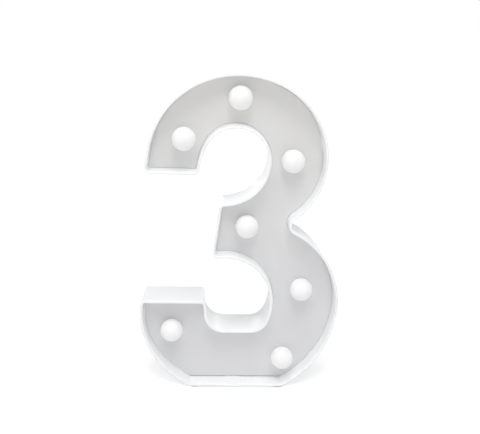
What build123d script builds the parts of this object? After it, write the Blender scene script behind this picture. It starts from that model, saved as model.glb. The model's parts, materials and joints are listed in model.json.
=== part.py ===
from build123d import *
import os
from math import atan2, cos, degrees, pi, radians, sin, sqrt, tan

os.makedirs("parts", exist_ok=True)

# The numeral stands on its flat base and faces -Y. Z is up and X is to its right as it is read.
# Lengths are in millimetres. Depths are measured backwards from the front rim.

# Case
numeral_height = 220.0
numeral_width = 137.0
case_wall = 2.0
back_wall = 2.0
draft_inset = 1.5
recess_depth = 10.2
corner_radius = 4.0
waist_radius = 4.5
foot_radius = 6.0
cut_overrun = 1.0

# Face panel, and the ribs and snap tabs of the case that hold its edge
panel_thickness = 1.6
panel_gap = 0.3
rib_width = 1.2
rib_reach = 1.6
snap_width = 11.0
snap_reach = 0.5
snap_height = 0.8
snap_gap = 0.05

# Lamp globes, pushed into the panel from the front
globe_radius = 7.8
globe_stand = 5.5
globe_wall = 0.8
stem_radius = 4.8
stem_reach = 3.4
stem_fit = 0.1
stem_lip = 0.3
stem_lip_height = 0.7

# Light-emitting diodes and the plugs that hold them in the globes' stems
diode_radius = 2.5
diode_height = 7.7
diode_rim_radius = 2.9
diode_rim_height = 1.0
leg_width = 0.5
leg_pitch = 2.54
negative_leg = 3.2
positive_leg = 5.7
plug_fit = 0.05
plug_flange_radius = 5.4
plug_flange_height = 1.0
plug_depth = 3.0

# Screws that pull the panel's posts against the wells in the back
screw_radius = 1.3
screw_length = 10.0
screw_head_radius = 2.4
screw_head_height = 1.5
screw_head_bevel = 0.5
drive_width = 0.6
drive_length = 2.8
drive_depth = 0.8
screw_fit = 0.15
well_radius = 4.4
well_height = 2.0
well_floor = 1.6
post_radius = 3.0
post_gap = 0.1
post_fin_width = 1.0
post_fin_reach = 2.0
post_fin_height = 5.0
thread_gap = 0.05

# Battery bay, moulded into the back, and its two cells
cell_radius = 7.25
cell_length = 49.0
cell_edge = 0.7
nub_radius = 2.7
nub_height = 1.5
cell_gap = 0.4
bay_wall = 1.2
bay_front = 1.1
bay_base = 6.0
contact_thickness = 0.4
contact_height = 11.0
contact_width = 10.0
contact_button_radius = 2.6
contact_button_height = 0.7
button_taper = 20
contact_fit = 0.05
tag_width = 3.0
tag_reach = 2.2
tag_gap = 0.15
spring_length = 4.6
spring_wire_radius = 0.3
spring_base_radius = 4.4
spring_top_radius = 2.9
spring_turns = 3

# Battery door, with two tabs below and a snap tongue above
door_thickness = 1.6
door_ledge = 1.0
door_gap = 0.15
door_seat_gap = 0.1
tab_width = 8.0
tab_spacing = 34.0
tab_thickness = 1.2
tab_reach = 1.2
tab_neck = 1.4
tab_gap = 0.1
tab_room = 1.3
tongue_width = 13.0
tongue_length = 8.0
tongue_slit = 0.8
hook_depth = 1.8
hook_thickness = 1.0
hook_gap = 0.45
hook_bump = 0.25
grip_rib_width = 0.8
grip_rib_depth = 0.5
grip_rib_pitch = 1.8
thumb_radius = 9.0
thumb_reach = 3.2
thumb_depth = 1.0

# Slide switch, screwed to a pad inside the back
switch_length = 13.0
switch_width = 6.4
switch_height = 4.6
switch_metal = 0.4
ear_reach = 3.8
ear_hole_pitch = 16.4
ear_hole_radius = 1.1
base_thickness = 1.0
pin_width = 1.0
pin_thickness = 0.5
pin_length = 3.0
pin_pitch = 4.0
slider_length = 5.0
slider_height = 1.6
slider_fit = 0.1
knob_length = 3.0
knob_width = 3.0
knob_travel = 3.0
knob_fit = 0.2
knob_shy = 0.2
knob_groove = 0.35
pad_height = 1.2
pad_margin = 1.2
dish_length = 13.0
dish_width = 8.0
dish_depth = 1.0
ear_screw_radius = 0.9
ear_screw_length = 2.6
ear_screw_head_radius = 1.7
ear_screw_head_height = 1.1
ear_pilot_spare = 0.2

# Hanging slot in the back, closed off inside by a pocket
key_head_radius = 4.0
key_neck_radius = 2.0
key_rise = 7.0
pocket_wall = 1.0
pocket_gap = 0.6
pocket_depth = 3.0

# Wires and resistor behind the panel
wire_radius = 0.55
wire_end = 1.0
lead_in = 5.0
wire_turn_height = 8.0
wire_corner_radius = 3.0
wire_drop = 10.0
resistor_radius = 1.0
resistor_length = 6.3
resistor_end_radius = 1.3
resistor_end_length = 1.5
resistor_lead_radius = 0.3
resistor_lead_length = 1.2
bend_share = 0.45
joint_share = 0.11
lamps_in_order = [2, 1, 3, 4, 5, 7, 6]

# Places on the numeral, each as its share of the width and of the height
upper_tip_share = (-0.476, 0.700)
upper_tip_root_share = (-0.209, 0.700)
upper_counter_start_share = (-0.176, 0.785)
upper_counter_side_share = (0.115, 0.745)
arm_top_share = (-0.112, 0.617)
arm_bottom_share = (-0.147, 0.434)
lower_counter_side_share = (0.153, 0.298)
lower_counter_right_share = (0.060, 0.201)
lower_counter_floor_share = (-0.074, 0.201)
lower_counter_left_share = (-0.161, 0.250)
lower_tip_root_share = (-0.170, 0.300)
lower_tip_share = (-0.494, 0.300)
left_side_share = (-0.500, 0.255)
left_heel_share = (-0.380, 0.066)
base_left_share = (-0.249, 0)
base_right_share = (0.235, 0)
right_side_share = (0.500, 0.291)
waist_share = (0.205, 0.546)
shoulder_side_share = (0.404, 0.747)
shoulder_share = (0.205, 0.961)
top_share = (-0.030, 1)
upper_side_share = (-0.462, 0.770)

lamp_shares = [
    (-0.024, 0.928),
    (-0.286, 0.805),
    (0.236, 0.745),
    (0.025, 0.539),
    (0.311, 0.335),
    (-0.340, 0.190),
    (0.233, 0.095),
]
screw_shares = [
    (-0.385, 0.741),
    (0.175, 0.873),
    (0.220, 0.618),
    (-0.073, 0.491),
    (0.409, 0.364),
    (0.350, 0.136),
    (-0.241, 0.250),
]
rib_shares = [
    0.015, 0.085, 0.130, 0.195, 0.230, 0.270, 0.380, 0.430, 0.475,
    0.565, 0.610, 0.660, 0.715, 0.775, 0.830, 0.885, 0.970,
]
snap_shares = [0.425, 0.531, 0.805, 0.905]
bay_centre_share = -0.044
switch_share = (0.358, 0.227)
key_share = (0.060, 0.912)

# Depths and heights worked out from the sizes above
bay_depth = door_thickness + door_seat_gap + cell_gap + 2 * cell_radius + cell_gap
panel_back = recess_depth + panel_thickness
case_depth = panel_back + post_gap + bay_front + bay_depth
back_inner = case_depth - back_wall
globe_overhang = globe_stand + globe_radius - recess_depth
rim_y = globe_overhang - (case_depth + globe_overhang) / 2
stem_end = panel_back + stem_reach
well_top = back_inner - well_height
bay_length = (cell_length + nub_height + spring_length + contact_button_height
              + 2 * (contact_thickness + contact_fit))
bay_height = 4 * cell_radius + 3 * cell_gap
bay_middle = bay_base + bay_height / 2
bay_x = bay_centre_share * numeral_width
bay_right = bay_x + bay_length / 2
bay_left = bay_x - bay_length / 2
cell_depth = case_depth - door_thickness - door_seat_gap - cell_gap - cell_radius
door_hinge_z = bay_base - door_ledge
door_top = bay_base + bay_height + door_ledge
upper_cell_z = bay_middle + cell_radius + cell_gap / 2
lower_cell_z = bay_middle - cell_radius - cell_gap / 2
contact_front = cell_depth - contact_height / 2
tag_depth = contact_front + contact_thickness / 2
bay_side = bay_right + bay_wall
tab_places = [bay_x - tab_spacing / 2, bay_x + tab_spacing / 2]
pad_face = back_inner - pad_height
can_end = pad_face - switch_height
knob_slot_length = knob_length + knob_travel + 2 * knob_fit
knob_slot_width = knob_width + 2 * knob_fit
pocket_width = 2 * (key_head_radius + pocket_gap + pocket_wall)
pocket_length = key_head_radius + key_rise + key_neck_radius + 2 * (pocket_gap + pocket_wall)
pin_depth = can_end - base_thickness - pin_length / 2
negative_depth = stem_end + plug_flange_height + negative_leg + wire_radius
positive_depth = stem_end + plug_flange_height + positive_leg + wire_radius


def place(share):
    return (share[0] * numeral_width, share[1] * numeral_height)


def level(depth):
    """The upright plane at a depth behind the rim, its sketches read from the front."""
    return Plane.XZ.offset(-(rim_y + depth))


def radial_plane(spot):
    """The flat plane through a spot of the numeral, where x is a radius and y is a depth."""
    return Plane(origin=(spot[0], rim_y, spot[1]), x_dir=(1, 0, 0), z_dir=(0, 0, 1))


def lamp_axis(spot):
    return Axis((spot[0], rim_y, spot[1]), (0, 1, 0))


def point(x, depth, z):
    return Vector(x, rim_y + depth, z)


def write(piece, name):
    piece.part.label = name
    export_step(piece.part, f"parts/{name}.step")


lamp_spots = [place(share) for share in lamp_shares]
screw_spots = [place(share) for share in screw_shares]
switch_x, switch_z = place(switch_share)
key_x, key_z = place(key_share)
ear_places = [(switch_x + side * ear_hole_pitch / 2, switch_z) for side in (-1, 1)]


def smooth_path(points, tangents):
    """Pairs of arcs that run smoothly through points, each with its given direction."""
    edges = []
    for start, end, leave, arrive in zip(points, points[1:], tangents, tangents[1:]):
        gap = end - start
        spread = 2 * (1 - leave.dot(arrive))
        pull = gap.dot(leave + arrive)
        reach = (sqrt(pull ** 2 + spread * gap.dot(gap)) - pull) / spread
        middle = (start + end + (leave - arrive) * reach) / 2
        first = Edge.make_tangent_arc(start, leave, middle)
        edges += [first, Edge.make_tangent_arc(middle, first % 1, end)]
    return Wire(edges)


# Outline of the numeral: straight ends, and bowls of arcs that run smoothly into each other
up, down, left, right = (0, 1), (0, -1), (-1, 0), (1, 0)

with BuildSketch() as sharp_outline:
    with BuildLine() as outline:
        Line(place(upper_tip_share), place(upper_tip_root_share))
        counter = TangentArc(place(upper_counter_side_share), place(upper_counter_start_share), tangent=up)
        TangentArc(place(upper_counter_start_share), place(upper_tip_root_share), tangent=counter % 1)
        TangentArc(place(upper_counter_side_share), place(arm_top_share), tangent=down)
        Line(place(arm_top_share), place(arm_bottom_share))
        TangentArc(place(lower_counter_side_share), place(arm_bottom_share), tangent=up)
        add(smooth_path([Vector(place(lower_counter_side_share)), Vector(place(lower_counter_right_share))],
                        [Vector(down), Vector(left)]))
        Line(place(lower_counter_right_share), place(lower_counter_floor_share))
        corner = TangentArc(place(lower_counter_floor_share), place(lower_counter_left_share), tangent=left)
        TangentArc(place(lower_counter_left_share), place(lower_tip_root_share), tangent=corner % 1)
        Line(place(lower_tip_root_share), place(lower_tip_share))
        TangentArc(place(left_side_share), place(lower_tip_share), tangent=up)
        heel = TangentArc(place(left_side_share), place(left_heel_share), tangent=down)
        TangentArc(place(left_heel_share), place(base_left_share), tangent=heel % 1)
        Line(place(base_left_share), place(base_right_share))
        TangentArc(place(right_side_share), place(base_right_share), tangent=down)
        TangentArc(place(right_side_share), place(waist_share), tangent=up)
        crown = TangentArc(place(top_share), place(shoulder_share), tangent=right)
        shoulder = TangentArc(place(shoulder_share), place(shoulder_side_share), tangent=crown % 1)
        TangentArc(place(shoulder_side_share), place(waist_share), tangent=shoulder % 1)
        side = TangentArc(place(top_share), place(upper_side_share), tangent=left)
        TangentArc(place(upper_side_share), place(upper_tip_share), tangent=side % 1)
    make_face()

with BuildSketch() as smooth_outline:
    add(sharp_outline.sketch)
    fillet(smooth_outline.vertices().sort_by_distance(place(waist_share))[0], waist_radius)

corner_radii = [
    (upper_tip_share, corner_radius),
    (upper_tip_root_share, corner_radius),
    (arm_top_share, corner_radius),
    (arm_bottom_share, corner_radius),
    (lower_tip_root_share, corner_radius),
    (lower_tip_share, corner_radius),
    (base_left_share, foot_radius),
    (base_right_share, foot_radius),
]


def case_outline(inset):
    """The numeral's outline moved inwards, its corners rounded so that it stays parallel."""
    with BuildSketch() as outline:
        add(smooth_outline.sketch)
        if inset:
            offset(amount=-inset)
        for share, radius in corner_radii:
            fillet(outline.vertices().sort_by_distance(place(share))[0], radius - inset)
    return outline.sketch


def wall_inset(depth):
    """How far the case's inner wall lies inside the front outline at a depth."""
    return case_wall + draft_inset * depth / case_depth


def inward(angle, inset):
    """The offset of a point that lies an inset inside an outline running at an angle."""
    return Vector(-sin(radians(angle)), cos(radians(angle))) * inset


def edge_places(shares, start, end):
    """The middles of blocks that run inwards from the outline, between two insets."""
    wire = sharp_outline.sketch.faces()[0].outer_wire()
    places = []
    for share in shares:
        along = wire.tangent_at(share)
        angle = degrees(atan2(along.Y, along.X))
        middle = wire.position_at(share) + inward(angle, (start + end) / 2)
        places.append(Location((middle.X, middle.Y, 0), angle))
    return places


# Case: one drafted moulding, open at the front, with everything that its back carries
with BuildPart() as tray_shell:
    with BuildSketch(level(0)):
        add(case_outline(0))
    with BuildSketch(level(case_depth)):
        add(case_outline(draft_inset))
    loft(ruled=True)
    with BuildSketch(level(0)):
        add(case_outline(case_wall))
    with BuildSketch(level(back_inner)):
        add(case_outline(wall_inset(back_inner)))
    loft(ruled=True, mode=Mode.SUBTRACT)

    # A level sole under the drafted bottom wall
    sole_start = place(base_left_share)[0] + foot_radius
    sole_end = place(base_right_share)[0] - foot_radius
    with BuildSketch(level(case_depth)):
        with Locations((sole_start, 0)):
            Rectangle(sole_end - sole_start, case_wall, align=(Align.MIN, Align.MIN))
    extrude(amount=case_depth)

    # Ribs behind the panel's edge, and snap tabs in front of it
    rib_start = draft_inset + case_wall / 2
    rib_end = wall_inset(back_inner) + rib_reach
    with BuildSketch(level(back_inner)):
        with Locations(*edge_places(rib_shares, rib_start, rib_end)):
            Rectangle(rib_width, rib_end - rib_start)
    extrude(amount=back_inner - panel_back)
    snap_start = case_wall / 2
    snap_end = wall_inset(recess_depth) + snap_reach
    with BuildSketch(level(recess_depth - snap_gap)):
        with Locations(*edge_places(snap_shares, snap_start, snap_end)):
            Rectangle(snap_width, snap_end - snap_start)
    extrude(amount=snap_height)

    # Screw wells, the battery bay, the switch's pad and the hanging slot's pocket
    with BuildSketch(level(back_inner)):
        with Locations(*screw_spots):
            Circle(well_radius)
    extrude(amount=well_height)
    with BuildSketch(level(back_inner)):
        with Locations((bay_x, bay_middle)):
            Rectangle(bay_length + 2 * bay_wall, bay_height + 2 * bay_wall)
    extrude(amount=back_inner - panel_back - post_gap)
    with BuildSketch(level(back_inner)):
        with Locations((switch_x, switch_z)):
            Rectangle(switch_length + 2 * (ear_reach + pad_margin), switch_width + 2 * pad_margin)
    extrude(amount=pad_height)
    with BuildSketch(level(back_inner)):
        with Locations((key_x, key_z + (key_rise + key_neck_radius - key_head_radius) / 2)):
            Rectangle(pocket_width, pocket_length)
    extrude(amount=pocket_depth + pocket_wall)

    # Cuts from behind: wells, door recess, bay, tab slots, thumb scoop, switch dish and slot
    with BuildSketch(level(case_depth)):
        with Locations(*screw_spots):
            Circle(screw_head_radius + screw_fit)
    extrude(amount=back_wall + well_height - well_floor, mode=Mode.SUBTRACT)
    with BuildSketch(level(case_depth)):
        with Locations(*screw_spots):
            Circle(screw_radius + screw_fit)
    extrude(amount=back_wall + well_height + cut_overrun, mode=Mode.SUBTRACT)
    with BuildSketch(level(case_depth)):
        with Locations((bay_x, bay_middle)):
            Rectangle(bay_length + 2 * door_ledge, bay_height + 2 * door_ledge)
    extrude(amount=door_thickness + door_seat_gap, mode=Mode.SUBTRACT)
    with BuildSketch(level(case_depth)):
        with Locations((bay_x, bay_middle)):
            Rectangle(bay_length, bay_height)
    extrude(amount=bay_depth, mode=Mode.SUBTRACT)
    with BuildSketch(level(case_depth)):
        with Locations(*[(x, door_hinge_z) for x in tab_places]):
            Rectangle(tab_width + 2 * door_gap, door_ledge + cut_overrun, align=(Align.CENTER, Align.MIN))
    extrude(amount=back_wall, mode=Mode.SUBTRACT)
    with BuildSketch(level(back_inner)):
        with Locations(*[(x, door_hinge_z - tab_reach - door_gap) for x in tab_places]):
            Rectangle(tab_width + 2 * door_gap, tab_reach + door_gap + door_ledge + cut_overrun,
                      align=(Align.CENTER, Align.MIN))
    extrude(amount=tab_gap + tab_thickness + tab_room, mode=Mode.SUBTRACT)
    with BuildSketch(level(case_depth)):
        with Locations((bay_x, door_top + thumb_reach - thumb_radius)):
            Circle(thumb_radius)
    extrude(amount=thumb_depth, mode=Mode.SUBTRACT)
    with BuildSketch(level(case_depth)):
        with Locations((switch_x, switch_z)):
            RectangleRounded(dish_length, dish_width, dish_width / 4)
    extrude(amount=dish_depth, mode=Mode.SUBTRACT)
    with BuildSketch(level(case_depth)):
        with Locations((switch_x, switch_z)):
            Rectangle(knob_slot_length, knob_slot_width)
    extrude(amount=back_wall + pad_height + cut_overrun, mode=Mode.SUBTRACT)
    with BuildSketch(level(pad_face)):
        with Locations(*ear_places):
            Circle(ear_screw_radius + thread_gap)
    extrude(amount=-(ear_screw_length - switch_metal + ear_pilot_spare), mode=Mode.SUBTRACT)

    # Hanging slot, and the room for a screw's head behind it
    with BuildSketch(level(case_depth)):
        with Locations((key_x, key_z)):
            Circle(key_head_radius)
            Rectangle(2 * key_neck_radius, key_rise, align=(Align.CENTER, Align.MIN))
        with Locations((key_x, key_z + key_rise)):
            Circle(key_neck_radius)
    extrude(amount=back_wall, mode=Mode.SUBTRACT)
    with BuildSketch(level(back_inner)):
        with Locations((key_x, key_z + (key_rise + key_neck_radius - key_head_radius) / 2)):
            Rectangle(pocket_width - 2 * pocket_wall, pocket_length - 2 * pocket_wall)
    extrude(amount=pocket_depth, mode=Mode.SUBTRACT)

    # Slots for the contacts' solder tags in the bay's right wall
    with BuildSketch(level(tag_depth + contact_thickness / 2 + tag_gap)):
        with Locations(*[(bay_right - cut_overrun, z) for z in (lower_cell_z, upper_cell_z)]):
            Rectangle(bay_wall + 2 * cut_overrun, tag_width + 2 * tag_gap,
                      align=(Align.MIN, Align.CENTER))
    extrude(amount=contact_thickness + 2 * tag_gap, mode=Mode.SUBTRACT)
write(tray_shell, "tray_shell")


# Face panel: holes for the globes' stems, and finned posts that the screws pull on
with BuildPart() as face_panel:
    with BuildSketch(level(panel_back)):
        add(case_outline(wall_inset(panel_back) + panel_gap))
    extrude(amount=panel_thickness)
    with BuildSketch(level(panel_back)):
        with Locations(*screw_spots):
            Rectangle(2 * (post_radius + post_fin_reach), post_fin_width)
            Rectangle(post_fin_width, 2 * (post_radius + post_fin_reach))
    extrude(amount=-post_fin_height)
    with BuildSketch(level(panel_back)):
        with Locations(*screw_spots):
            Circle(post_radius)
    extrude(amount=-(well_top - post_gap - panel_back))
    with BuildSketch(level(well_top - post_gap)):
        with Locations(*screw_spots):
            Circle(screw_radius + thread_gap)
    extrude(amount=screw_length, mode=Mode.SUBTRACT)
    with BuildSketch(level(panel_back)):
        with Locations(*lamp_spots):
            Circle(stem_radius + stem_fit)
    extrude(amount=panel_thickness, mode=Mode.SUBTRACT)
write(face_panel, "face_panel")


# Route of the two lamp wires: past the diodes, down and round beside the bay, and over it
wire_run_x = bay_side + tag_reach / 2
counter_floor_z = place(lower_counter_floor_share)[1] - wall_inset(back_inner)
wire_lane_z = (bay_base + bay_height + bay_wall + counter_floor_z) / 2
lane_end = Vector(bay_left - bay_wall, wire_lane_z)
spots_in_order = [Vector(*lamp_spots[number - 1]) for number in lamps_in_order]
route_spots = spots_in_order[:-1] + [Vector(spots_in_order[-2].X, wire_turn_height)]
lamp_headings = {lamps_in_order[-1]: (spots_in_order[-1] - lane_end).normalized()}
arriving = Vector()
for number, here, following in zip(lamps_in_order, route_spots, route_spots[1:]):
    leaving = (following - here).normalized()
    lamp_headings[number] = (arriving + leaving).normalized()
    arriving = leaving


def globe_cap(spot):
    """A hollow frosted globe whose stem snaps through the panel."""
    centre = recess_depth - globe_stand
    foot = sqrt(globe_radius ** 2 - globe_stand ** 2)
    inner_radius = globe_radius - globe_wall
    bore = stem_radius - globe_wall
    inner_foot = centre + sqrt(inner_radius ** 2 - bore ** 2)
    lip_start = panel_back + snap_gap
    with BuildPart() as cap:
        with BuildSketch(radial_plane(spot)):
            with BuildLine():
                Line((0, centre - globe_radius), (0, centre - inner_radius))
                ThreePointArc((0, centre - inner_radius), (inner_radius, centre), (bore, inner_foot))
                Polyline((bore, inner_foot), (bore, stem_end), (stem_radius, stem_end),
                         (stem_radius, lip_start + stem_lip_height),
                         (stem_radius + stem_lip, lip_start), (stem_radius, lip_start),
                         (stem_radius, recess_depth), (foot, recess_depth))
                ThreePointArc((foot, recess_depth), (globe_radius, centre), (0, centre - globe_radius))
            make_face()
        revolve(axis=lamp_axis(spot))
    return cap


def diode_plug(spot):
    """The plug that closes a stem and holds the diode on its axis."""
    bore = stem_radius - globe_wall - plug_fit
    with BuildPart() as plug:
        with BuildSketch(radial_plane(spot)):
            with BuildLine():
                Polyline((diode_radius + plug_fit, stem_end - plug_depth),
                         (bore, stem_end - plug_depth), (bore, stem_end),
                         (plug_flange_radius, stem_end),
                         (plug_flange_radius, stem_end + plug_flange_height),
                         (diode_rim_radius + plug_fit, stem_end + plug_flange_height),
                         (diode_rim_radius + plug_fit, stem_end),
                         (diode_radius + plug_fit, stem_end), close=True)
            make_face()
        revolve(axis=lamp_axis(spot))
    return plug


def leg_offset(heading, side):
    """From a diode's axis to one of its legs, set across the heading of the wires."""
    return Vector(-heading.Y, heading.X) * (side * leg_pitch / 2)


def diode(spot, heading):
    """A round diode with a rim and two legs, the positive one longer."""
    tip = stem_end - diode_height
    rim_back = stem_end + diode_rim_height
    with BuildPart() as led:
        with BuildSketch(radial_plane(spot)):
            with BuildLine():
                Line((0, tip), (0, rim_back))
                Polyline((0, rim_back), (diode_rim_radius, rim_back), (diode_rim_radius, stem_end),
                         (diode_radius, stem_end), (diode_radius, tip + diode_radius))
                TangentArc((diode_radius, tip + diode_radius), (0, tip), tangent=(0, -1))
            make_face()
        revolve(axis=lamp_axis(spot))
        for side, leg_length in ((1, positive_leg), (-1, negative_leg)):
            foot = Vector(*spot) + leg_offset(heading, side)
            with BuildSketch(level(rim_back)):
                with Locations((foot.X, foot.Y)):
                    Rectangle(leg_width, leg_width)
            extrude(amount=-(stem_end + plug_flange_height + leg_length - rim_back))
    return led


for number, spot in enumerate(lamp_spots, start=1):
    write(globe_cap(spot), f"bulb_cap_{number}")
    write(diode_plug(spot), f"led_plug_{number}")
    write(diode(spot, lamp_headings[number]), f"led_{number}")


# Screws through the back's wells, with bevelled heads and crossed drive slots
with BuildPart() as panel_screws:
    head_seat = back_inner - well_height + well_floor
    with BuildSketch(level(head_seat)):
        with Locations(*screw_spots):
            Circle(screw_radius)
    extrude(amount=screw_length)
    with BuildSketch(level(head_seat)):
        with Locations(*screw_spots):
            Circle(screw_head_radius)
    extrude(amount=-screw_head_height)
    chamfer(panel_screws.edges().filter_by(GeomType.CIRCLE).group_by(Axis.Y)[-1], screw_head_bevel)
    with BuildSketch(level(head_seat + screw_head_height)):
        with Locations(*screw_spots):
            Rectangle(drive_length, drive_width)
            Rectangle(drive_width, drive_length)
    extrude(amount=drive_depth, mode=Mode.SUBTRACT)
write(panel_screws, "panel_screws")


def cell(z, positive_x, facing):
    """A round cell that lies along X, its nub at positive_x and facing +X or -X."""
    with BuildPart() as battery:
        with BuildSketch(Plane(origin=point(positive_x, cell_depth, z),
                               x_dir=(0, 1, 0), z_dir=(facing, 0, 0))):
            Circle(nub_radius)
        extrude(amount=-(nub_height + cell_edge))
        with BuildSketch(Plane(origin=point(positive_x - facing * nub_height, cell_depth, z),
                               x_dir=(0, 1, 0), z_dir=(facing, 0, 0))):
            Circle(cell_radius)
        extrude(amount=-cell_length)
        ends = battery.edges().filter_by(GeomType.CIRCLE)
        fillet(ends.filter_by(lambda edge: edge.radius == cell_radius), cell_edge)
    return battery


button_reach = contact_fit + contact_thickness + contact_button_height
write(cell(upper_cell_z, bay_right - button_reach, 1), "battery_cell_1")
write(cell(lower_cell_z, bay_left + button_reach, -1), "battery_cell_2")


def contact_plate(bay_end, facing, z, width, button_z=None):
    """A sheet contact against one end of the bay, facing into it, with a raised button."""
    outer_x = bay_end + facing * contact_fit
    face_x = outer_x + facing * contact_thickness
    with BuildPart() as plate:
        with BuildSketch(Plane(origin=point(outer_x, cell_depth, z),
                               x_dir=(0, 0, 1), z_dir=(facing, 0, 0))):
            Rectangle(width, contact_height)
        extrude(amount=contact_thickness)
        if button_z is not None:
            with BuildSketch(Plane(origin=point(face_x, cell_depth, button_z), z_dir=(facing, 0, 0))):
                Circle(contact_button_radius)
            extrude(amount=contact_button_height, taper=button_taper)
    return plate


def tagged_plate(z, button_z=None):
    """A contact on the bay's right end, with a solder tag that passes through the wall."""
    with BuildPart() as plate:
        add(contact_plate(bay_right, -1, z, contact_width, button_z).part)
        with BuildSketch(level(tag_depth + contact_thickness / 2)):
            with Locations((bay_right - contact_fit - contact_thickness, z)):
                Rectangle(contact_fit + contact_thickness + bay_wall + tag_reach, tag_width,
                          align=(Align.MIN, Align.CENTER))
        extrude(amount=contact_thickness)
    return plate


write(tagged_plate(upper_cell_z, upper_cell_z), "positive_contact")
write(tagged_plate(lower_cell_z), "negative_contact")
bridge_width = contact_width + upper_cell_z - lower_cell_z
write(contact_plate(bay_left, 1, bay_middle, bridge_width, lower_cell_z), "bridge_contact")


def contact_spring(base_x, facing, z):
    """A conical coil from a contact at base_x to the flat end of a cell."""
    steps = 2 * spring_turns
    height = spring_length - 2 * spring_wire_radius
    points = []
    tangents = []
    for step in range(steps + 1):
        turned = step * pi
        portion = step / steps
        radius = spring_base_radius + (spring_top_radius - spring_base_radius) * portion
        points.append(point(base_x + facing * (spring_wire_radius + height * portion),
                            cell_depth + radius * cos(turned), z + radius * sin(turned)))
        shrink = (spring_top_radius - spring_base_radius) / (steps * pi)
        climb = facing * height / (steps * pi)
        tangents.append(Vector(climb, shrink * cos(turned) - radius * sin(turned),
                               shrink * sin(turned) + radius * cos(turned)).normalized())
    path = smooth_path(points, tangents)
    with BuildPart() as coil:
        with BuildSketch(Plane(origin=points[0], z_dir=tangents[0])):
            Circle(spring_wire_radius)
        sweep(path=path)
    return coil, path


def least_gap(path, turns, wire):
    """The smallest clear space between a coil's turns, measured on points of its path."""
    per_turn = 24
    spots = [path.position_at(step / (per_turn * turns)) for step in range(per_turn * turns + 1)]
    apart = [(a - b).length for i, a in enumerate(spots) for b in spots[i + per_turn // 2:]]
    return min(apart) - 2 * wire


spring_ends = [
    (bay_left + contact_fit + contact_thickness, 1, upper_cell_z),
    (bay_right - contact_fit - contact_thickness, -1, lower_cell_z),
]
for number, (base_x, facing, z) in enumerate(spring_ends, start=1):
    coil, coil_path = contact_spring(base_x, facing, z)
    write(coil, f"contact_spring_{number}")
    print("spring", number, "least gap", round(least_gap(coil_path, spring_turns, spring_wire_radius), 3))


# Battery door: a plate with two hooked tabs, a snap tongue between slits, and grip ribs
with BuildPart() as battery_door:
    door_length = bay_length + 2 * (door_ledge - door_gap)
    door_height = bay_height + 2 * (door_ledge - door_gap)
    with BuildSketch(level(case_depth - door_thickness)):
        with Locations((bay_x, bay_middle)):
            Rectangle(door_length, door_height)
    extrude(amount=-door_thickness)
    with BuildSketch(level(case_depth - door_thickness)):
        with Locations(*[(x, bay_base + door_gap) for x in tab_places]):
            Rectangle(tab_width, tab_neck, align=(Align.CENTER, Align.MIN))
    extrude(amount=back_wall - door_thickness + tab_gap + tab_thickness)
    with BuildSketch(level(back_inner - tab_gap)):
        with Locations(*[(x, door_hinge_z - tab_reach) for x in tab_places]):
            Rectangle(tab_width, tab_reach + door_ledge + door_gap + tab_neck,
                      align=(Align.CENTER, Align.MIN))
    extrude(amount=tab_thickness)
    hook_top = bay_base + bay_height - hook_gap
    with BuildSketch(level(case_depth - door_thickness)):
        with Locations((bay_x, hook_top)):
            Rectangle(tongue_width - 2 * tongue_slit, hook_thickness, align=(Align.CENTER, Align.MAX))
    extrude(amount=hook_depth)
    with BuildSketch(level(case_depth - door_thickness - hook_depth + hook_bump)):
        with Locations((bay_x, hook_top)):
            Rectangle(tongue_width - 2 * tongue_slit, hook_bump, align=(Align.CENTER, Align.MIN))
    extrude(amount=hook_bump)
    slit_places = [(bay_x + side * (tongue_width + tongue_slit) / 2, door_top) for side in (-1, 1)]
    with BuildSketch(level(case_depth)):
        with Locations(*slit_places):
            Rectangle(tongue_slit, tongue_length, align=(Align.CENTER, Align.MAX))
    extrude(amount=door_thickness, mode=Mode.SUBTRACT)
    grip_count = int((tongue_length - door_ledge) / grip_rib_pitch)
    with BuildSketch(level(case_depth)):
        for number in range(grip_count):
            with Locations((bay_x, door_top - door_ledge - (number + 1 / 2) * grip_rib_pitch)):
                Rectangle(tongue_width - 2 * grip_rib_width, grip_rib_width)
    extrude(amount=grip_rib_depth, mode=Mode.SUBTRACT)
write(battery_door, "battery_door")


# Slide switch: a metal can with ears, its base and pins, and the knob that slides in it
with BuildPart() as switch_can:
    with BuildSketch(level(pad_face)):
        with Locations((switch_x, switch_z)):
            Rectangle(switch_length + 2 * ear_reach, switch_width)
        with Locations(*ear_places):
            Circle(ear_hole_radius, mode=Mode.SUBTRACT)
    extrude(amount=switch_metal)
    with BuildSketch(level(pad_face)):
        with Locations((switch_x, switch_z)):
            Rectangle(switch_length, switch_width)
    extrude(amount=switch_height)
    with BuildSketch(level(can_end)):
        with Locations((switch_x, switch_z)):
            Rectangle(switch_length - 2 * switch_metal, switch_width - 2 * switch_metal)
    extrude(amount=-(switch_height - switch_metal), mode=Mode.SUBTRACT)
    with BuildSketch(level(pad_face)):
        with Locations((switch_x, switch_z)):
            Rectangle(knob_slot_length, knob_slot_width)
    extrude(amount=switch_metal, mode=Mode.SUBTRACT)
write(switch_can, "switch_can")

with BuildPart() as switch_base:
    with BuildSketch(level(can_end)):
        with Locations((switch_x, switch_z)):
            Rectangle(switch_length, switch_width)
            with GridLocations(pin_pitch, 0, 3, 1):
                Rectangle(pin_width, pin_thickness, mode=Mode.SUBTRACT)
    extrude(amount=base_thickness)
write(switch_base, "switch_base")

with BuildPart() as switch_pins:
    with BuildSketch(level(can_end)):
        with Locations((switch_x, switch_z)):
            with GridLocations(pin_pitch, 0, 3, 1):
                Rectangle(pin_width, pin_thickness)
    extrude(amount=base_thickness + pin_length)
write(switch_pins, "switch_pins")

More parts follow.
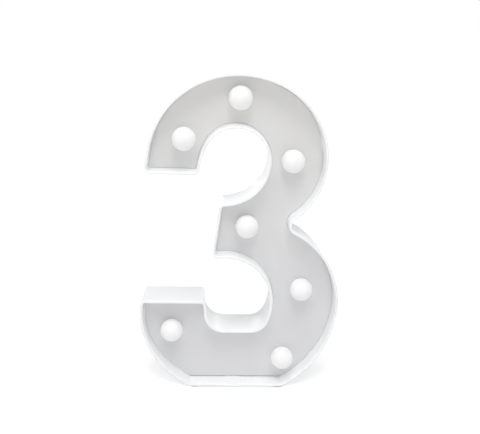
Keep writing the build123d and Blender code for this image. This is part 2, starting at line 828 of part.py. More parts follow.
with BuildPart() as switch_knob:
    knob_x = switch_x - knob_travel / 2
    slider_back = pad_face - switch_metal - slider_fit
    with BuildSketch(level(slider_back)):
        with Locations((knob_x, switch_z)):
            Rectangle(slider_length, switch_width - 2 * (switch_metal + slider_fit))
    extrude(amount=slider_height)
    with BuildSketch(level(slider_back)):
        with Locations((knob_x, switch_z)):
            Rectangle(knob_length, knob_width)
    extrude(amount=-(case_depth - knob_shy - slider_back))
    with BuildSketch(level(case_depth - knob_shy)):
        with Locations((knob_x, switch_z)):
            with GridLocations(2 * knob_groove, 0, 3, 1):
                Rectangle(knob_groove, knob_width)
    extrude(amount=knob_groove, mode=Mode.SUBTRACT)
write(switch_knob, "switch_knob")

with BuildPart() as switch_screws:
    with BuildSketch(level(pad_face - switch_metal)):
        with Locations(*ear_places):
            Circle(ear_screw_radius)
    extrude(amount=-ear_screw_length)
    with BuildSketch(level(pad_face - switch_metal)):
        with Locations(*ear_places):
            Circle(ear_screw_head_radius)
    extrude(amount=ear_screw_head_height)
write(switch_screws, "switch_screws")


def bend_radii(points, rooms):
    """The largest bend at each corner that its two runs and the room around it allow."""
    radii = []
    for before, corner, after, room in zip(points, points[1:], points[2:], rooms):
        run_in = corner - before
        run_out = after - corner
        half_turn = radians(run_in.get_angle(run_out)) / 2
        radii.append(min(bend_share * min(run_in.length, run_out.length) / tan(half_turn), room))
    return radii


def wire_tube(points, rooms):
    """A wire along straight runs joined by smooth bends."""
    with BuildPart() as wire:
        with BuildLine() as path:
            FilletPolyline(*points, radius=bend_radii(points, rooms))
        with BuildSketch(Plane(origin=path.line @ 0, z_dir=path.line % 0)):
            Circle(wire_radius)
        sweep(path=path.line)
    return wire


def lamp_wire_points(side, depth):
    """The corners of one lamp wire, and the room for a bend at each of them but the ends."""
    flat = []
    for number, spot in zip(lamps_in_order, spots_in_order):
        heading = lamp_headings[number]
        leg = spot + leg_offset(heading, side)
        flat += [leg - heading * lead_in, leg + heading * lead_in]
    around_bay = [Vector(flat[-3].X, wire_turn_height), Vector(wire_run_x, wire_turn_height),
                  Vector(wire_run_x, wire_lane_z), lane_end]
    corners = flat[1:-2] + around_bay + flat[-2:-1]
    open_room = [numeral_width] * len(flat[1:-2])
    rooms = open_room + [wire_corner_radius] * len(around_bay) + [numeral_width]
    start = flat[0] + lamp_headings[lamps_in_order[0]] * (lead_in - wire_end)
    end = flat[-1] - lamp_headings[lamps_in_order[-1]] * (lead_in - wire_end)
    return [point(spot.X, depth, spot.Y) for spot in [start] + corners + [end]], rooms


negative_points, negative_rooms = lamp_wire_points(-1, negative_depth)
positive_points, positive_rooms = lamp_wire_points(1, positive_depth)
write(wire_tube(negative_points, negative_rooms), "negative_lamp_wire")
write(wire_tube(positive_points, positive_rooms), "positive_lamp_wire")

with BuildPart() as negative_link_wire:
    link_start = tag_depth + contact_thickness / 2
    with BuildSketch(level(link_start)):
        with Locations((wire_run_x, lower_cell_z)):
            Circle(wire_radius)
    extrude(amount=-(negative_depth - wire_radius - link_start))
write(negative_link_wire, "negative_link_wire")

battery_pin_x = switch_x - pin_pitch
battery_wire_points = [
    point(wire_run_x, tag_depth, upper_cell_z + tag_width / 2),
    point(wire_run_x, tag_depth, switch_z - wire_drop),
    point(battery_pin_x, pin_depth, switch_z - wire_drop),
    point(battery_pin_x, pin_depth, switch_z - pin_thickness / 2),
]
write(wire_tube(battery_wire_points, [numeral_width] * 2), "battery_wire")

resistor_foot = switch_z + pin_thickness / 2
resistor_top = resistor_foot + resistor_length + 2 * resistor_lead_length
with BuildPart() as resistor:
    with BuildSketch(Plane(origin=point(switch_x, pin_depth, resistor_foot),
                           x_dir=(1, 0, 0), z_dir=(0, -1, 0))):
        with BuildLine():
            body_start = resistor_lead_length
            body_end = resistor_lead_length + resistor_length
            Polyline((0, 0), (resistor_lead_radius, 0), (resistor_lead_radius, body_start),
                     (resistor_end_radius, body_start),
                     (resistor_end_radius, body_start + resistor_end_length),
                     (resistor_radius, body_start + resistor_end_length),
                     (resistor_radius, body_end - resistor_end_length),
                     (resistor_end_radius, body_end - resistor_end_length),
                     (resistor_end_radius, body_end), (resistor_lead_radius, body_end),
                     (resistor_lead_radius, body_end + resistor_lead_length),
                     (0, body_end + resistor_lead_length), close=True)
        make_face()
    revolve(axis=Axis(point(switch_x, pin_depth, resistor_foot), (0, 0, 1)))
write(resistor, "resistor")

# The feed wire joins the positive wire's run that leaves the third lamp from the end
joint_run = 2 * (len(lamps_in_order) - 3) + 1
joint_line = positive_points[joint_run + 1] - positive_points[joint_run]
joint = positive_points[joint_run] + joint_line * joint_share
joint_to_knee = Vector(switch_x - joint.X, pin_depth - positive_depth,
                       (joint.X - switch_x) * joint_line.X / joint_line.Z)
feed_points = [
    point(switch_x, pin_depth, resistor_top),
    joint + joint_to_knee,
    joint + joint_to_knee.normalized() * wire_radius,
]
write(wire_tube(feed_points, [numeral_width]), "lamp_feed_wire")
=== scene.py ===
import json
from math import cos, pi, radians, sin

import bmesh
import bpy
from mathutils import Matrix, Vector


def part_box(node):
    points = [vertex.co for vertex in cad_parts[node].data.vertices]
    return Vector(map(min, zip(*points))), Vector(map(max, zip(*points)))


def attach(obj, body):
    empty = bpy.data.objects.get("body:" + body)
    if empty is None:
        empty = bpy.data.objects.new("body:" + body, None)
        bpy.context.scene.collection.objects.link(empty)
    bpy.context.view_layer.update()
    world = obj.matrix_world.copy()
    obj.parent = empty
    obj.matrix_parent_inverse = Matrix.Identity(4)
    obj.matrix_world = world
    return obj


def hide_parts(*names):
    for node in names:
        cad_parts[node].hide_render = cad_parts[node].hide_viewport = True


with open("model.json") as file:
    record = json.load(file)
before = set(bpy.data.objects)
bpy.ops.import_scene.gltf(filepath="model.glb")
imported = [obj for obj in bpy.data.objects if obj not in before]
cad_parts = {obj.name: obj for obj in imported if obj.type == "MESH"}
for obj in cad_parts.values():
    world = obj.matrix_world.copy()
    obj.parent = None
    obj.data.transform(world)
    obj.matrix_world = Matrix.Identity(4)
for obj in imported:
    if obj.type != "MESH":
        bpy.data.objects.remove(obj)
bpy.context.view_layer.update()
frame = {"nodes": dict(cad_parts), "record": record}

nodes = frame["nodes"]
MM = 0.001


# Camera, fitted to the rim, the panel's edge and the lamps
def look_from(position, yaw, pitch, roll, focal_pixels, frame_width):
    """Sets the camera. The position is in millimetres, the angles are in degrees."""
    yaw, pitch, roll = radians(yaw), radians(pitch), radians(roll)
    forward = Vector((sin(yaw) * cos(pitch), cos(yaw) * cos(pitch), -sin(pitch)))
    right = forward.cross(Vector((0, 0, 1))).normalized()
    upward = right.cross(forward)
    turned_right = right * cos(roll) + upward * sin(roll)
    turned_up = upward * cos(roll) - right * sin(roll)
    data = bpy.data.cameras.new("camera")
    camera = bpy.data.objects.new("camera", data)
    bpy.context.scene.collection.objects.link(camera)
    camera.matrix_world = Matrix((
        (turned_right.x, turned_up.x, -forward.x, position[0] * MM),
        (turned_right.y, turned_up.y, -forward.y, position[1] * MM),
        (turned_right.z, turned_up.z, -forward.z, position[2] * MM),
        (0, 0, 0, 1),
    ))
    data.sensor_width = 36
    data.lens = focal_pixels / frame_width * data.sensor_width
    data.clip_start = 0.01
    data.clip_end = 50
    bpy.context.scene.camera = camera


look_from(position=(-24.4, -436.25, 255.6), yaw=3.09, pitch=16.92, roll=1.91, focal_pixels=671.2, frame_width=480)


# Material helpers. Noise textures mostly stay within this span
NOISE_SPAN = (0.3, 0.7)


class NodeTree:
    """Short ways to add nodes to a tree and to link them."""

    def __init__(self, tree):
        self.tree = tree

    def add(self, kind, **settings):
        node = self.tree.nodes.new(kind)
        for key, value in settings.items():
            setattr(node, key, value)
        return node

    def link(self, output, socket):
        self.tree.links.new(output, socket)

    def joined(self, operation, first, second):
        node = self.add("ShaderNodeMath", operation=operation)
        self.link(first, node.inputs[0])
        self.link(second, node.inputs[1])
        return node.outputs[0]

    def ranged(self, value, from_ends, to_ends=(0, 1), **settings):
        """A value that goes between to_ends as another goes between from_ends."""
        node = self.add("ShaderNodeMapRange", **settings)
        node.inputs["From Min"].default_value, node.inputs["From Max"].default_value = from_ends
        node.inputs["To Min"].default_value, node.inputs["To Max"].default_value = to_ends
        self.link(value, node.inputs["Value"])
        return node.outputs["Result"]

    def seen(self):
        """1 for rays from the camera and for reflections, otherwise 0."""
        path = self.add("ShaderNodeLightPath")
        return self.joined("MAXIMUM", path.outputs["Is Camera Ray"], path.outputs["Is Glossy Ray"])


class Shader(NodeTree):
    """A material with a principled shader."""

    def __init__(self, name):
        self.material = bpy.data.materials.new(name)
        self.material.use_nodes = True
        super().__init__(self.material.node_tree)
        self.shader = self.tree.nodes["Principled BSDF"]
        self.place = self.add("ShaderNodeTexCoord").outputs["Object"]

    def noise(self, scale, detail=2.0, roughness=0.5, stretch=None):
        node = self.add("ShaderNodeTexNoise")
        node.inputs["Scale"].default_value = scale
        node.inputs["Detail"].default_value = detail
        node.inputs["Roughness"].default_value = roughness
        place = self.place
        if stretch:
            mapping = self.add("ShaderNodeMapping")
            mapping.inputs["Scale"].default_value = stretch
            self.link(place, mapping.inputs["Vector"])
            place = mapping.outputs["Vector"]
        self.link(place, node.inputs["Vector"])
        return node.outputs["Fac"]

    def ramp(self, value, low_color, high_color):
        """A colour between two, as noise around 0.5 goes from low to high."""
        node = self.add("ShaderNodeValToRGB")
        for element, position, color in zip(node.color_ramp.elements, NOISE_SPAN, (low_color, high_color)):
            element.position = position
            element.color = (*color, 1)
        self.link(value, node.inputs["Fac"])
        return node.outputs["Color"]

    def coordinate(self, axis):
        apart = self.add("ShaderNodeSeparateXYZ")
        self.link(self.place, apart.inputs[0])
        return apart.outputs[axis]

    def inside(self, axis, low, high):
        """1 where the place's coordinate lies between low and high, otherwise 0."""
        coordinate = self.coordinate(axis)
        above = self.add("ShaderNodeMath", operation="GREATER_THAN")
        below = self.add("ShaderNodeMath", operation="LESS_THAN")
        above.inputs[1].default_value = low
        below.inputs[1].default_value = high
        for node in (above, below):
            self.link(coordinate, node.inputs[0])
        return self.joined("MULTIPLY", above.outputs[0], below.outputs[0])

    def mixed(self, factor, first, second):
        """A colour mix; first and second are outputs or plain colours."""
        node = self.add("ShaderNodeMix", data_type="RGBA")
        self.link(factor, node.inputs[0])
        for value, socket in ((first, node.inputs[6]), (second, node.inputs[7])):
            if isinstance(value, tuple):
                socket.default_value = (*value, 1)
            else:
                self.link(value, socket)
        return node.outputs[2]

    def bump(self, heights):
        """Bumps one on another, each a height value with its depth in metres."""
        normal = None
        for value, depth in heights:
            node = self.add("ShaderNodeBump")
            node.inputs["Strength"].default_value = 1
            node.inputs["Distance"].default_value = depth
            self.link(value, node.inputs["Height"])
            if normal:
                self.link(normal, node.inputs["Normal"])
            normal = node.outputs["Normal"]
        self.link(normal, self.shader.inputs["Normal"])


def tinted(color, factor):
    return tuple(min(1, channel * factor) for channel in color)


def moulded(name, color, roughness, vary=0.02, grain=900, grain_depth=0.02, flow_depth=0.06, painted_top_tint=None, glow=0):
    """Moulded plastic: a fine spark texture, faint flow waviness and slightly uneven gloss.

    The depths are in millimetres. The top colour is what it changes to at the top of the object, a painted
    warm light from above; glow is painted light that evens out the shading, as light passing through would."""
    painted_tint_low, painted_tint_high = 80 * MM, 200 * MM
    broad_scale, gloss_scale, flow_scale, gloss_spread = 18, 140, 35, 0.05
    made = Shader(name)
    broad = made.noise(broad_scale, 3)
    shade = made.ramp(broad, tinted(color, 1 - vary), tinted(color, 1 + vary))
    # Painted light: towards the top of the object the colour turns to the warmer top colour
    if painted_top_tint:
        upper = made.ramp(broad, tinted(painted_top_tint, 1 - vary), tinted(painted_top_tint, 1 + vary))
        shade = made.mixed(made.ranged(made.coordinate("Z"), (painted_tint_low, painted_tint_high)), shade, upper)
    made.link(shade, made.shader.inputs["Base Color"])
    gloss = made.ranged(made.noise(gloss_scale, 4), NOISE_SPAN, (roughness - gloss_spread, roughness + gloss_spread))
    made.link(gloss, made.shader.inputs["Roughness"])
    made.shader.inputs["IOR"].default_value = 1.46
    # Painted light: a white glow of the surface's own, which evens out its shading
    made.shader.inputs["Emission Color"].default_value = (1, 1, 1, 1)
    made.shader.inputs["Emission Strength"].default_value = glow
    made.bump([(made.noise(flow_scale, 1), flow_depth * MM), (made.noise(grain, 3, 0.6), grain_depth * MM)])
    return made.material


def metal(name, color, roughness, stretch=(1, 1, 1)):
    """Plated metal with faint drawn scratches."""
    streak_scale, scratch_depth, gloss_spread = 500, 0.01 * MM, 0.08
    made = Shader(name)
    streaks = made.noise(streak_scale, 4, 0.6, stretch)
    made.link(made.ramp(streaks, tinted(color, 0.85), tinted(color, 1.1)), made.shader.inputs["Base Color"])
    gloss = made.ranged(streaks, NOISE_SPAN, (roughness - gloss_spread, roughness + gloss_spread))
    made.link(gloss, made.shader.inputs["Roughness"])
    made.shader.inputs["Metallic"].default_value = 1
    made.bump([(streaks, scratch_depth)])
    return made.material


def cell_wrap(name, box, plus_side):
    """A printed film in two tones, with a plus mark and a minus mark on the side that faces the door."""
    mark_length, mark_width = 3.6 * MM, 0.9 * MM
    plus_inset, minus_inset = 9 * MM, 8 * MM
    band_length, line_width = 16 * MM, 1.2 * MM
    print_scale, gloss_scale, flow_scale, flow_depth = 60, 200, 45, 0.04 * MM
    pale_print, dark_print = (0.75, 0.76, 0.76), (0.02, 0.03, 0.04)
    low, high = box
    axis_y, axis_z = (low[1] + high[1]) / 2, (low[2] + high[2]) / 2
    plus_end = high[0] if plus_side > 0 else low[0]
    minus_end = low[0] if plus_side > 0 else high[0]
    made = Shader(name)

    def block(middle, length, height):
        return made.joined("MULTIPLY", made.inside("X", middle - length / 2, middle + length / 2),
                           made.inside("Z", axis_z - height / 2, axis_z + height / 2))

    def span(first, second):
        """A range along the cell, from two distances from its plus end towards the minus end."""
        return sorted((plus_end - plus_side * first, plus_end - plus_side * second))

    plus_x = plus_end - plus_side * plus_inset
    minus_x = minus_end + plus_side * minus_inset
    plus = made.joined("MAXIMUM", block(plus_x, mark_length, mark_width), block(plus_x, mark_width, mark_length))
    minus = block(minus_x, mark_length, mark_width)
    marks = made.joined("MULTIPLY", made.inside("Y", axis_y, high[1] + MM), made.joined("MAXIMUM", plus, minus))
    band_span, line_span = span(band_length, -MM), span(band_length + line_width, band_length)
    film = made.ramp(made.noise(print_scale, 2), (0.028, 0.05, 0.075), (0.034, 0.06, 0.09))
    band = made.ramp(made.noise(print_scale, 2), (0.33, 0.36, 0.38), (0.37, 0.4, 0.42))
    shade = made.mixed(made.inside("X", *band_span), film, band)
    shade = made.mixed(made.inside("X", *line_span), shade, pale_print)
    ink = made.mixed(made.inside("X", *band_span), pale_print, dark_print)
    made.link(made.mixed(marks, shade, ink), made.shader.inputs["Base Color"])
    made.link(made.ranged(made.noise(gloss_scale, 3), NOISE_SPAN, (0.22, 0.32)), made.shader.inputs["Roughness"])
    made.bump([(made.noise(flow_scale, 1), flow_depth)])
    return made.material


# Painted light: the panel turns from a cool grey low down to a warm grey at the top, as under warmer light from
# above
grey_panel = moulded("grey_panel", (0.73, 0.73, 0.742), 0.5, vary=0.015, grain=1400, grain_depth=0.015,
                     painted_top_tint=(0.738, 0.733, 0.721))
nickel = metal("nickel_contact", (0.72, 0.7, 0.64), 0.25)
black_wire = moulded("black_wire", (0.02, 0.02, 0.02), 0.4)
red_wire = moulded("red_wire", (0.5, 0.02, 0.015), 0.4)
mark_ink = moulded("mark_ink", (0.16, 0.16, 0.165), 0.5)
finishes = {
    "white_case": moulded("white_case", (0.935, 0.94, 0.952), 0.42),
    "grey_panel": grey_panel,
    # The globes' glow is painted light that evens out their shading
    "frosted_globe": moulded("frosted_globe", (0.8, 0.8, 0.795), 0.45, vary=0.01, flow_depth=0.03, glow=0.12),
    "white_plug": moulded("white_plug", (0.8, 0.8, 0.78), 0.5),
    "led_body": moulded("led_body", (0.9, 0.84, 0.55), 0.15, grain_depth=0),
    "screw_steel": metal("screw_steel", (0.62, 0.62, 0.6), 0.35),
    "cell_jacket": cell_wrap("cell_jacket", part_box("battery_cell_1"), 1),
    "nickel_contact": nickel,
    "switch_steel": metal("switch_steel", (0.66, 0.66, 0.64), 0.38, (1, 8, 1)),
    "switch_board": moulded("switch_board", (0.25, 0.12, 0.05), 0.6),
    "black_knob": moulded("black_knob", (0.02, 0.02, 0.021), 0.45),
    "black_wire": black_wire,
    "red_wire": red_wire,
    "resistor_body": moulded("resistor_body", (0.6, 0.42, 0.24), 0.45),
}


# Modifiers for the CAD pieces, whose meshes stay as they are
class Group(NodeTree):
    """A geometry node group that goes on a piece as a modifier, with the shape as it stands so far."""

    def __init__(self, name):
        super().__init__(bpy.data.node_groups.new(name, "GeometryNodeTree"))
        for direction in ("INPUT", "OUTPUT"):
            self.tree.interface.new_socket("Geometry", in_out=direction, socket_type="NodeSocketGeometry")
        self.shape = self.tree.nodes.new("NodeGroupInput").outputs[0]
        self.end = self.tree.nodes.new("NodeGroupOutput").inputs[0]

    def then(self, node):
        """Passes the shape through a node."""
        self.link(self.shape, node.inputs["Geometry"])
        self.shape = node.outputs["Geometry"]

    def merge_corners(self):
        merge = self.add("GeometryNodeMergeByDistance")
        merge.inputs["Distance"].default_value = 0.001 * MM
        self.then(merge)

    def compared(self, operation, value, limit, epsilon=0.0):
        node = self.add("FunctionNodeCompare", data_type="FLOAT", operation=operation)
        node.inputs[1].default_value = limit
        if operation == "EQUAL":
            node.inputs["Epsilon"].default_value = epsilon
        self.link(value, node.inputs[0])
        return node.outputs["Result"]

    def all_of(self, *values):
        joined = values[0]
        for value in values[1:]:
            node = self.add("FunctionNodeBooleanMath", operation="AND")
            self.link(joined, node.inputs[0])
            self.link(value, node.inputs[1])
            joined = node.outputs[0]
        return joined

    def y_of(self, vector):
        node = self.add("ShaderNodeSeparateXYZ")
        self.link(vector, node.inputs[0])
        return node.outputs["Y"]

    def edge_angle(self):
        return self.add("GeometryNodeInputMeshEdgeAngle").outputs["Unsigned Angle"]

    def finished(self):
        self.link(self.shape, self.end)
        return self.tree


def merged(name):
    """Joins the triangles of a CAD piece at their shared corners."""
    group = Group(name)
    group.merge_corners()
    return group.finished()


def smooth_faces(name):
    """Shades smooth across gentle edges and keeps sharp ones."""
    gentle_angle = radians(28)
    group = Group(name)
    group.merge_corners()
    group.then(group.add("GeometryNodeSetShadeSmooth"))
    edges = group.add("GeometryNodeSetShadeSmooth", domain="EDGE")
    group.then(edges)
    group.link(group.compared("LESS_THAN", group.edge_angle(), gentle_angle), edges.inputs["Shade Smooth"])
    return group.finished()


def weighted(name, rules):
    """Gives sharp edges in a plane of constant y a bevel weight.

    A rule holds the plane's y, the lowest and highest mean y of the normals beside the edge, and the weight."""
    sharp_angle, same_plane = radians(45), 0.005 * MM
    group = Group(name)
    height = group.y_of(group.add("GeometryNodeInputPosition").outputs["Position"])
    beside = group.add("GeometryNodeFieldOnDomain", data_type="FLOAT_VECTOR", domain="FACE")
    group.link(group.add("GeometryNodeInputNormal").outputs["Normal"], beside.inputs[0])
    facing = group.y_of(beside.outputs[0])
    sharp = group.compared("GREATER_THAN", group.edge_angle(), sharp_angle)
    for plane, lowest, highest, weight in rules:
        store = group.add("GeometryNodeStoreNamedAttribute", data_type="FLOAT", domain="EDGE")
        store.inputs["Name"].default_value = "bevel_weight_edge"
        store.inputs["Value"].default_value = weight
        chosen = group.all_of(sharp, group.compared("EQUAL", height, plane, same_plane),
                              group.compared("GREATER_THAN", facing, lowest),
                              group.compared("LESS_THAN", facing, highest))
        group.link(chosen, store.inputs["Selection"])
        group.then(store)
    return group.finished()


def with_nodes(piece, group):
    piece.modifiers.new(group.name, "NODES").node_group = group


def dissolved(piece):
    """Makes one face of the triangles that lie in one plane."""
    modifier = piece.modifiers.new("flat_faces", "DECIMATE")
    modifier.decimate_type = "DISSOLVE"
    modifier.angle_limit = radians(0.2)


def rounded(piece, width, segments, by_weight):
    modifier = piece.modifiers.new("rounded_edges", "BEVEL")
    modifier.width = width
    modifier.segments = segments
    modifier.use_clamp_overlap = False
    if by_weight:
        modifier.limit_method = "WEIGHT"
    else:
        modifier.limit_method = "ANGLE"
        modifier.angle_limit = radians(50)


# Every CAD piece gets its material, and curved faces that shade smoothly
rim_radius = 0.9 * MM
rim_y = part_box("tray_shell")[0][1]
rim_rules = [(rim_y, -0.5, 0.0, 1.0), (rim_y, -1.0, -0.5, 0.6)]
soft_edges = {"battery_door": 0.2, "switch_knob": 0.12, "switch_can": 0.12, "positive_contact": 0.06,
              "negative_contact": 0.06, "bridge_contact": 0.06}
merge_group = merged("merged_corners")
smooth_group = smooth_faces("smooth_faces")
for subpart in frame["record"]["subparts"]:
    name = subpart["node"]
    piece = nodes[name]
    for slot in piece.material_slots:
        slot.material = finishes[subpart["material_slot"]]
    if name == "tray_shell":
        with_nodes(piece, merge_group)
        with_nodes(piece, weighted("tray_shell_edges", rim_rules))
        rounded(piece, rim_radius, 4, by_weight=True)
    elif name in soft_edges:
        with_nodes(piece, merge_group)
        dissolved(piece)
        rounded(piece, soft_edges[name] * MM, 2, by_weight=False)
    with_nodes(piece, smooth_group)


# Pieces made here, most of them in place of plain solids
def add_piece(name, data, node, slot, *materials, body="case"):
    for material in materials:
        data.materials.append(material)
    piece = bpy.data.objects.new(name, data)
    bpy.context.scene.collection.objects.link(piece)
    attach(piece, body)
    if node:
        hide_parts(node)
    return piece


def lathe(name, profile, materials_along, box, plus_side):
    """A round mesh about a cell's axis. The profile is pairs of distance from the flat end and radius."""
    steps = 64
    low, high = box
    start = low[0] if plus_side > 0 else high[0]
    axis_y, axis_z = (low[1] + high[1]) / 2, (low[2] + high[2]) / 2
    shape = bmesh.new()
    rings = []
    for distance, radius in profile:
        x = start + plus_side * distance * MM
        if radius == 0:
            rings.append([shape.verts.new((x, axis_y, axis_z))])
        else:
            turns = (2 * pi * step / steps for step in range(steps))
            rings.append([shape.verts.new((x, axis_y + radius * MM * cos(turn), axis_z + radius * MM * sin(turn)))
                          for turn in turns])
    for ring, following, material_index in zip(rings, rings[1:], materials_along):
        for step in range(steps):
            after = (step + 1) % steps
            corners = []
            for point in (ring[step % len(ring)], ring[after % len(ring)],
                          following[after % len(following)], following[step % len(following)]):
                if point not in corners:
                    corners.append(point)
            face = shape.faces.new(corners)
            face.material_index = material_index
            face.smooth = True
    bmesh.ops.recalc_face_normals(shape, faces=shape.faces)
    mesh = bpy.data.meshes.new(name)
    shape.to_mesh(mesh)
    shape.free()
    return mesh


def arc_points(centre, radius, start, end, count):
    """Profile points on an arc, angles in degrees from the axis' direction to the radius' direction."""
    angles = (radians(start + (end - start) * step / count) for step in range(count + 1))
    return [(centre[0] + radius * cos(angle), centre[1] + radius * sin(angle)) for angle in angles]


# The cell's flat end, its film crimped round both ends, and its cap
flat_end = [(0.25, 0), (0.25, 4.9), (0.0, 5.2), (0.0, 5.7)]
film = ([(0.3, 5.9)] + arc_points((0.75, 6.5), 0.75, 180, 90, 6) + arc_points((48.25, 6.5), 0.75, 90, 0, 6)
        + [(48.6, 5.9)])
cap = [(48.6, 3.3), (48.9, 2.9)] + arc_points((50.1, 2.3), 0.4, 90, 0, 5) + [(50.5, 0)]
cell_materials = [1] * len(flat_end) + [0] * (len(film) - 1) + [1] * len(cap)
for number, plus_side in ((1, 1), (2, -1)):
    node = f"battery_cell_{number}"
    wrap = cell_wrap(f"cell_wrap_{number}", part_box(node), plus_side)
    mesh = lathe(f"wrapped_cell_{number}", flat_end + film + cap, cell_materials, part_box(node), plus_side)
    with_nodes(add_piece(f"wrapped_cell_{number}", mesh, node, "cell_jacket", wrap, nickel), smooth_group)


def tube(name, node, slot, material, points, radius):
    """A round wire along a smooth spline. Points and radius are in millimetres."""
    curve = bpy.data.curves.new(name, "CURVE")
    curve.dimensions = "3D"
    spline = curve.splines.new("NURBS")
    spline.points.add(len(points) - 1)
    for spot, place in zip(spline.points, points):
        spot.co = (*(Vector(place) * MM), 1)
    spline.order_u = 3
    spline.use_endpoint_u = True
    spline.resolution_u = 6
    curve.bevel_depth = radius * MM
    curve.bevel_resolution = 3
    curve.use_fill_caps = True
    add_piece(name, curve, node, slot, material)


def coil_points(base_x, facing, axis_z):
    """A conical coil along x, whose wide end sits on the contact."""
    axis_y, turns, per_turn = 7.2, 3, 16
    wide_radius, narrow_radius, foot, height = 4.4, 2.9, 0.3, 4.0
    points = []
    for step in range(turns * per_turn + 1):
        share = step / (turns * per_turn)
        radius = wide_radius + (narrow_radius - wide_radius) * share
        turned = 2 * pi * turns * share
        points.append((base_x + facing * (foot + height * share),
                       axis_y + radius * cos(turned), axis_z + radius * sin(turned)))
    return points


spring_wire_radius = 0.3
for number, base_x, facing, axis_z in ((1, -33.93, 1, 28.55), (2, 21.87, -1, 13.65)):
    tube(f"coil_spring_{number}", f"contact_spring_{number}", "nickel_contact", nickel,
         coil_points(base_x, facing, axis_z), spring_wire_radius)


def at_depth(depth, places):
    return [(x, depth, z) for x, z in places]


# Routes of the wires inside the case. Each lamp wire stays at one depth and passes all seven lamps
wire_radius = 0.55
negative_route = at_depth(6.5, [
    (-39.22, 175.48), (-34.42, 179.1), (-8.39, 203.4), (1.56, 202.4), (30.67, 168.79), (31.46, 158.82),
    (1.78, 123.47), (2.53, 113.5), (40.1, 78.21), (42.66, 68.54), (31.16, 26.0), (30.16, 16.05), (30.16, 11.0),
    (30.16, 8.0), (27.4, 8.0), (24.62, 8.0), (24.62, 11.0), (24.62, 36.1), (24.62, 39.11), (21.6, 39.11),
    (-32.6, 39.11), (-35.58, 39.11), (-41.42, 41.85), (-47.25, 43.27),
])
positive_route = at_depth(9.0, [
    (-40.75, 177.51), (-35.95, 181.12), (-8.14, 205.92), (1.81, 204.92), (33.21, 168.98), (33.99, 159.01),
    (4.32, 123.66), (5.07, 113.69), (42.55, 78.86), (45.12, 69.19), (33.68, 25.75), (32.69, 15.8), (32.69, 11.0),
    (32.69, 8.0), (29.7, 8.0), (27.6, 8.0), (24.62, 8.0), (24.62, 11.0), (24.62, 36.1), (24.62, 39.11),
    (21.6, 39.11), (-32.6, 39.11), (-35.58, 39.11), (-42.02, 39.38), (-47.85, 40.8),
])
link_route = [(24.62, 5.95, 13.65), (24.62, 4.0, 13.65), (24.62, 2.1, 13.65)]
battery_route = [(24.62, 1.9, 30.05), (24.62, 1.9, 39.94), (45.05, 6.25, 39.94), (45.05, 6.25, 49.69)]
feed_route = [(49.05, 6.25, 58.89), (49.05, 6.25, 63.05), (44.33, 8.75, 64.29)]
for name, node, slot, material, route in (
    ("black_lamp_wire", "negative_lamp_wire", "black_wire", black_wire, negative_route),
    ("red_lamp_wire", "positive_lamp_wire", "red_wire", red_wire, positive_route),
    ("black_link_wire", "negative_link_wire", "black_wire", black_wire, link_route),
    ("red_battery_wire", "battery_wire", "red_wire", red_wire, battery_route),
    ("red_feed_wire", "lamp_feed_wire", "red_wire", red_wire, feed_route),
):
    tube(name, node, slot, material, route, wire_radius)


# Words for the switch's two ends, raised from the floor of its dish
dish_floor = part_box("tray_shell")[1][1] - 0.99 * MM


def word(text, x, z, height):
    """A raised word that is read from behind. Lengths are in millimetres."""
    name = "mark_" + text.lower()
    curve = bpy.data.curves.new(name, "FONT")
    curve.body = text
    curve.size = height * MM
    curve.extrude = 0.06 * MM
    curve.align_x = "CENTER"
    curve.align_y = "CENTER"
    piece = add_piece(name, curve, None, "white_case", mark_ink)
    piece.matrix_world = Matrix(((-1, 0, 0, x * MM), (0, 0, 1, dish_floor), (0, 1, 0, z * MM), (0, 0, 0, 1)))


word("ON", 53.0, 47.15, 1.8)
word("OFF", 45.1, 47.15, 1.8)


# The panel's front edge reaches the case's wall, with a gap along its foot
def fitted_panel(growth, foot_gap):
    """A copy of the panel with its front edge moved out by growth, and in by foot_gap along its foot."""
    lamp_room, foot_height, same_plane, same_point = 9 * MM, 12 * MM, 0.01 * MM, 0.001 * MM
    side_face_limit, least_outward, down_limit = 0.5, 0.1, -0.95
    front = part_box("face_panel")[0][1]
    caps = [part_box(f"bulb_cap_{number}") for number in range(1, 8)]
    lamps = [(Vector(low) + Vector(high)) / 2 for low, high in caps]
    shape = bmesh.new()
    shape.from_mesh(nodes["face_panel"].data)
    bmesh.ops.remove_doubles(shape, verts=shape.verts, dist=same_point)
    shape.normal_update()
    moves = {}
    for point in shape.verts:
        outward = Vector((0, 0, 0))
        for face in point.link_faces:
            if abs(face.normal.y) < side_face_limit:
                outward += Vector((face.normal.x, 0, face.normal.z)).normalized()
        clear = all(Vector((point.co.x - lamp.x, point.co.z - lamp.z)).length > lamp_room for lamp in lamps)
        if outward.length > least_outward and clear and point.co.y < front + same_plane:
            direction = outward.normalized()
            at_foot = point.co.z < foot_height and direction.z < down_limit
            moves[point] = direction * (-foot_gap if at_foot else growth)
    for point, move in moves.items():
        point.co += move
    mesh = bpy.data.meshes.new("fitted_panel")
    shape.to_mesh(mesh)
    shape.free()
    with_nodes(add_piece("fitted_panel", mesh, "face_panel", "grey_panel", grey_panel), smooth_group)


fitted_panel(growth=0.22 * MM, foot_gap=0.3 * MM)


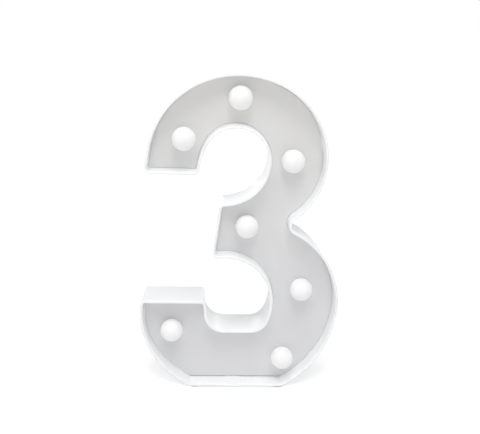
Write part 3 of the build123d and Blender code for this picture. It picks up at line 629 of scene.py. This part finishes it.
# Floor, backdrop and light
def floor_material():
    """A white floor that shows white to the camera and keeps the object's shadow.

    Its colour is darkest right at the object's foot, a painted contact shadow, and its glow grows with the distance
    from it, which also paints shade near the foot."""
    foot_half_size = (31 * MM, 13.2 * MM, 0)
    made = Shader("floor")
    made.shader.inputs["Roughness"].default_value = 0.8
    made.shader.inputs["Specular IOR Level"].default_value = 0.2
    size = made.add("ShaderNodeVectorMath", operation="ABSOLUTE")
    beyond = made.add("ShaderNodeVectorMath", operation="SUBTRACT")
    outside = made.add("ShaderNodeVectorMath", operation="MAXIMUM")
    distance = made.add("ShaderNodeVectorMath", operation="LENGTH")
    beyond.inputs[1].default_value = foot_half_size
    made.link(made.place, size.inputs[0])
    made.link(size.outputs[0], beyond.inputs[0])
    made.link(beyond.outputs[0], outside.inputs[0])
    made.link(outside.outputs[0], distance.inputs[0])

    def rising(start, end, least, most):
        """Rises from least to most between two distances from the foot, in metres."""
        return made.ranged(distance.outputs["Value"], (start, end), (least, most), interpolation_type="SMOOTHSTEP")

    # Painted contact shadow: the floor's colour darkens from 0.9 to 0.65 within 3 mm of the foot
    made.link(rising(0, 0.003, 0.65, 0.9), made.shader.inputs["Base Color"])
    # The glow is weakest within 4 mm of the foot, which deepens the painted contact shadow, and grows further out so
    # that the far floor shows white
    level = made.joined("ADD", rising(0, 0.004, 0.1, 0.36), rising(0.05, 0.5, 0, 0.64))
    glow = made.add("ShaderNodeEmission")
    made.link(made.joined("MULTIPLY", made.seen(), level), glow.inputs["Strength"])
    both = made.add("ShaderNodeAddShader")
    made.link(made.shader.outputs[0], both.inputs[0])
    made.link(glow.outputs[0], both.inputs[1])
    made.link(both.outputs[0], made.tree.nodes["Material Output"].inputs["Surface"])
    return made.material


def studio_world():
    """White to the camera and in reflections, and a weaker light all round on everything else."""
    world = bpy.data.worlds.new("studio")
    bpy.context.scene.world = world
    world.use_nodes = True
    all_round_strength = 0.24
    made = NodeTree(world.node_tree)
    sky = made.tree.nodes["Background"]
    sky.inputs["Color"].default_value = (1, 1, 1, 1)
    made.link(made.ranged(made.seen(), (0, 1), (all_round_strength, 1)), sky.inputs["Strength"])


def softbox(name, position, target, size, watts):
    data = bpy.data.lights.new(name, "AREA")
    data.shape = "RECTANGLE"
    data.size, data.size_y = size
    data.energy = watts
    lamp = bpy.data.objects.new(name, data)
    lamp.location = position
    lamp.rotation_euler = (Vector(target) - Vector(position)).to_track_quat("-Z", "Y").to_euler()
    bpy.context.scene.collection.objects.link(lamp)


floor_reach = 6
floor_mesh = bpy.data.meshes.new("floor")
floor_corners = [(x * floor_reach, y * floor_reach, 0) for x, y in ((-1, -1), (1, -1), (1, 1), (-1, 1))]
floor_mesh.from_pydata(floor_corners, [], [(0, 1, 2, 3)])
floor_mesh.materials.append(floor_material())
floor = bpy.data.objects.new("floor", floor_mesh)
bpy.context.scene.collection.objects.link(floor)

studio_world()
object_middle = (0, 0, 0.12)
for name, position, size, watts in (
    ("top", (0, -0.25, 1.4), (0.9, 0.8), 6.1),
    ("top_left", (-0.45, -0.7, 1.25), (0.9, 0.8), 2),
    ("top_right", (0.45, -0.7, 1.25), (0.9, 0.8), 2.1),
    ("key", (-0.05, -0.7, 1.15), (0.3, 0.3), 1.9),
    ("front", (0, -1.3, 0.3), (0.9, 0.8), 2.9),
    ("left", (-1.3, -0.4, 0.6), (0.9, 0.8), 3.3),
    ("right", (1.3, -0.4, 0.6), (0.9, 0.8), 2.1),
    ("back", (0, 0.9, 1.1), (0.9, 0.8), 0.5),
    ("back_low", (0, 1.4, 0.12), (0.9, 0.5), 5),
):
    softbox(name, position, object_middle, size, watts)

bpy.context.scene.view_settings.view_transform = "Standard"
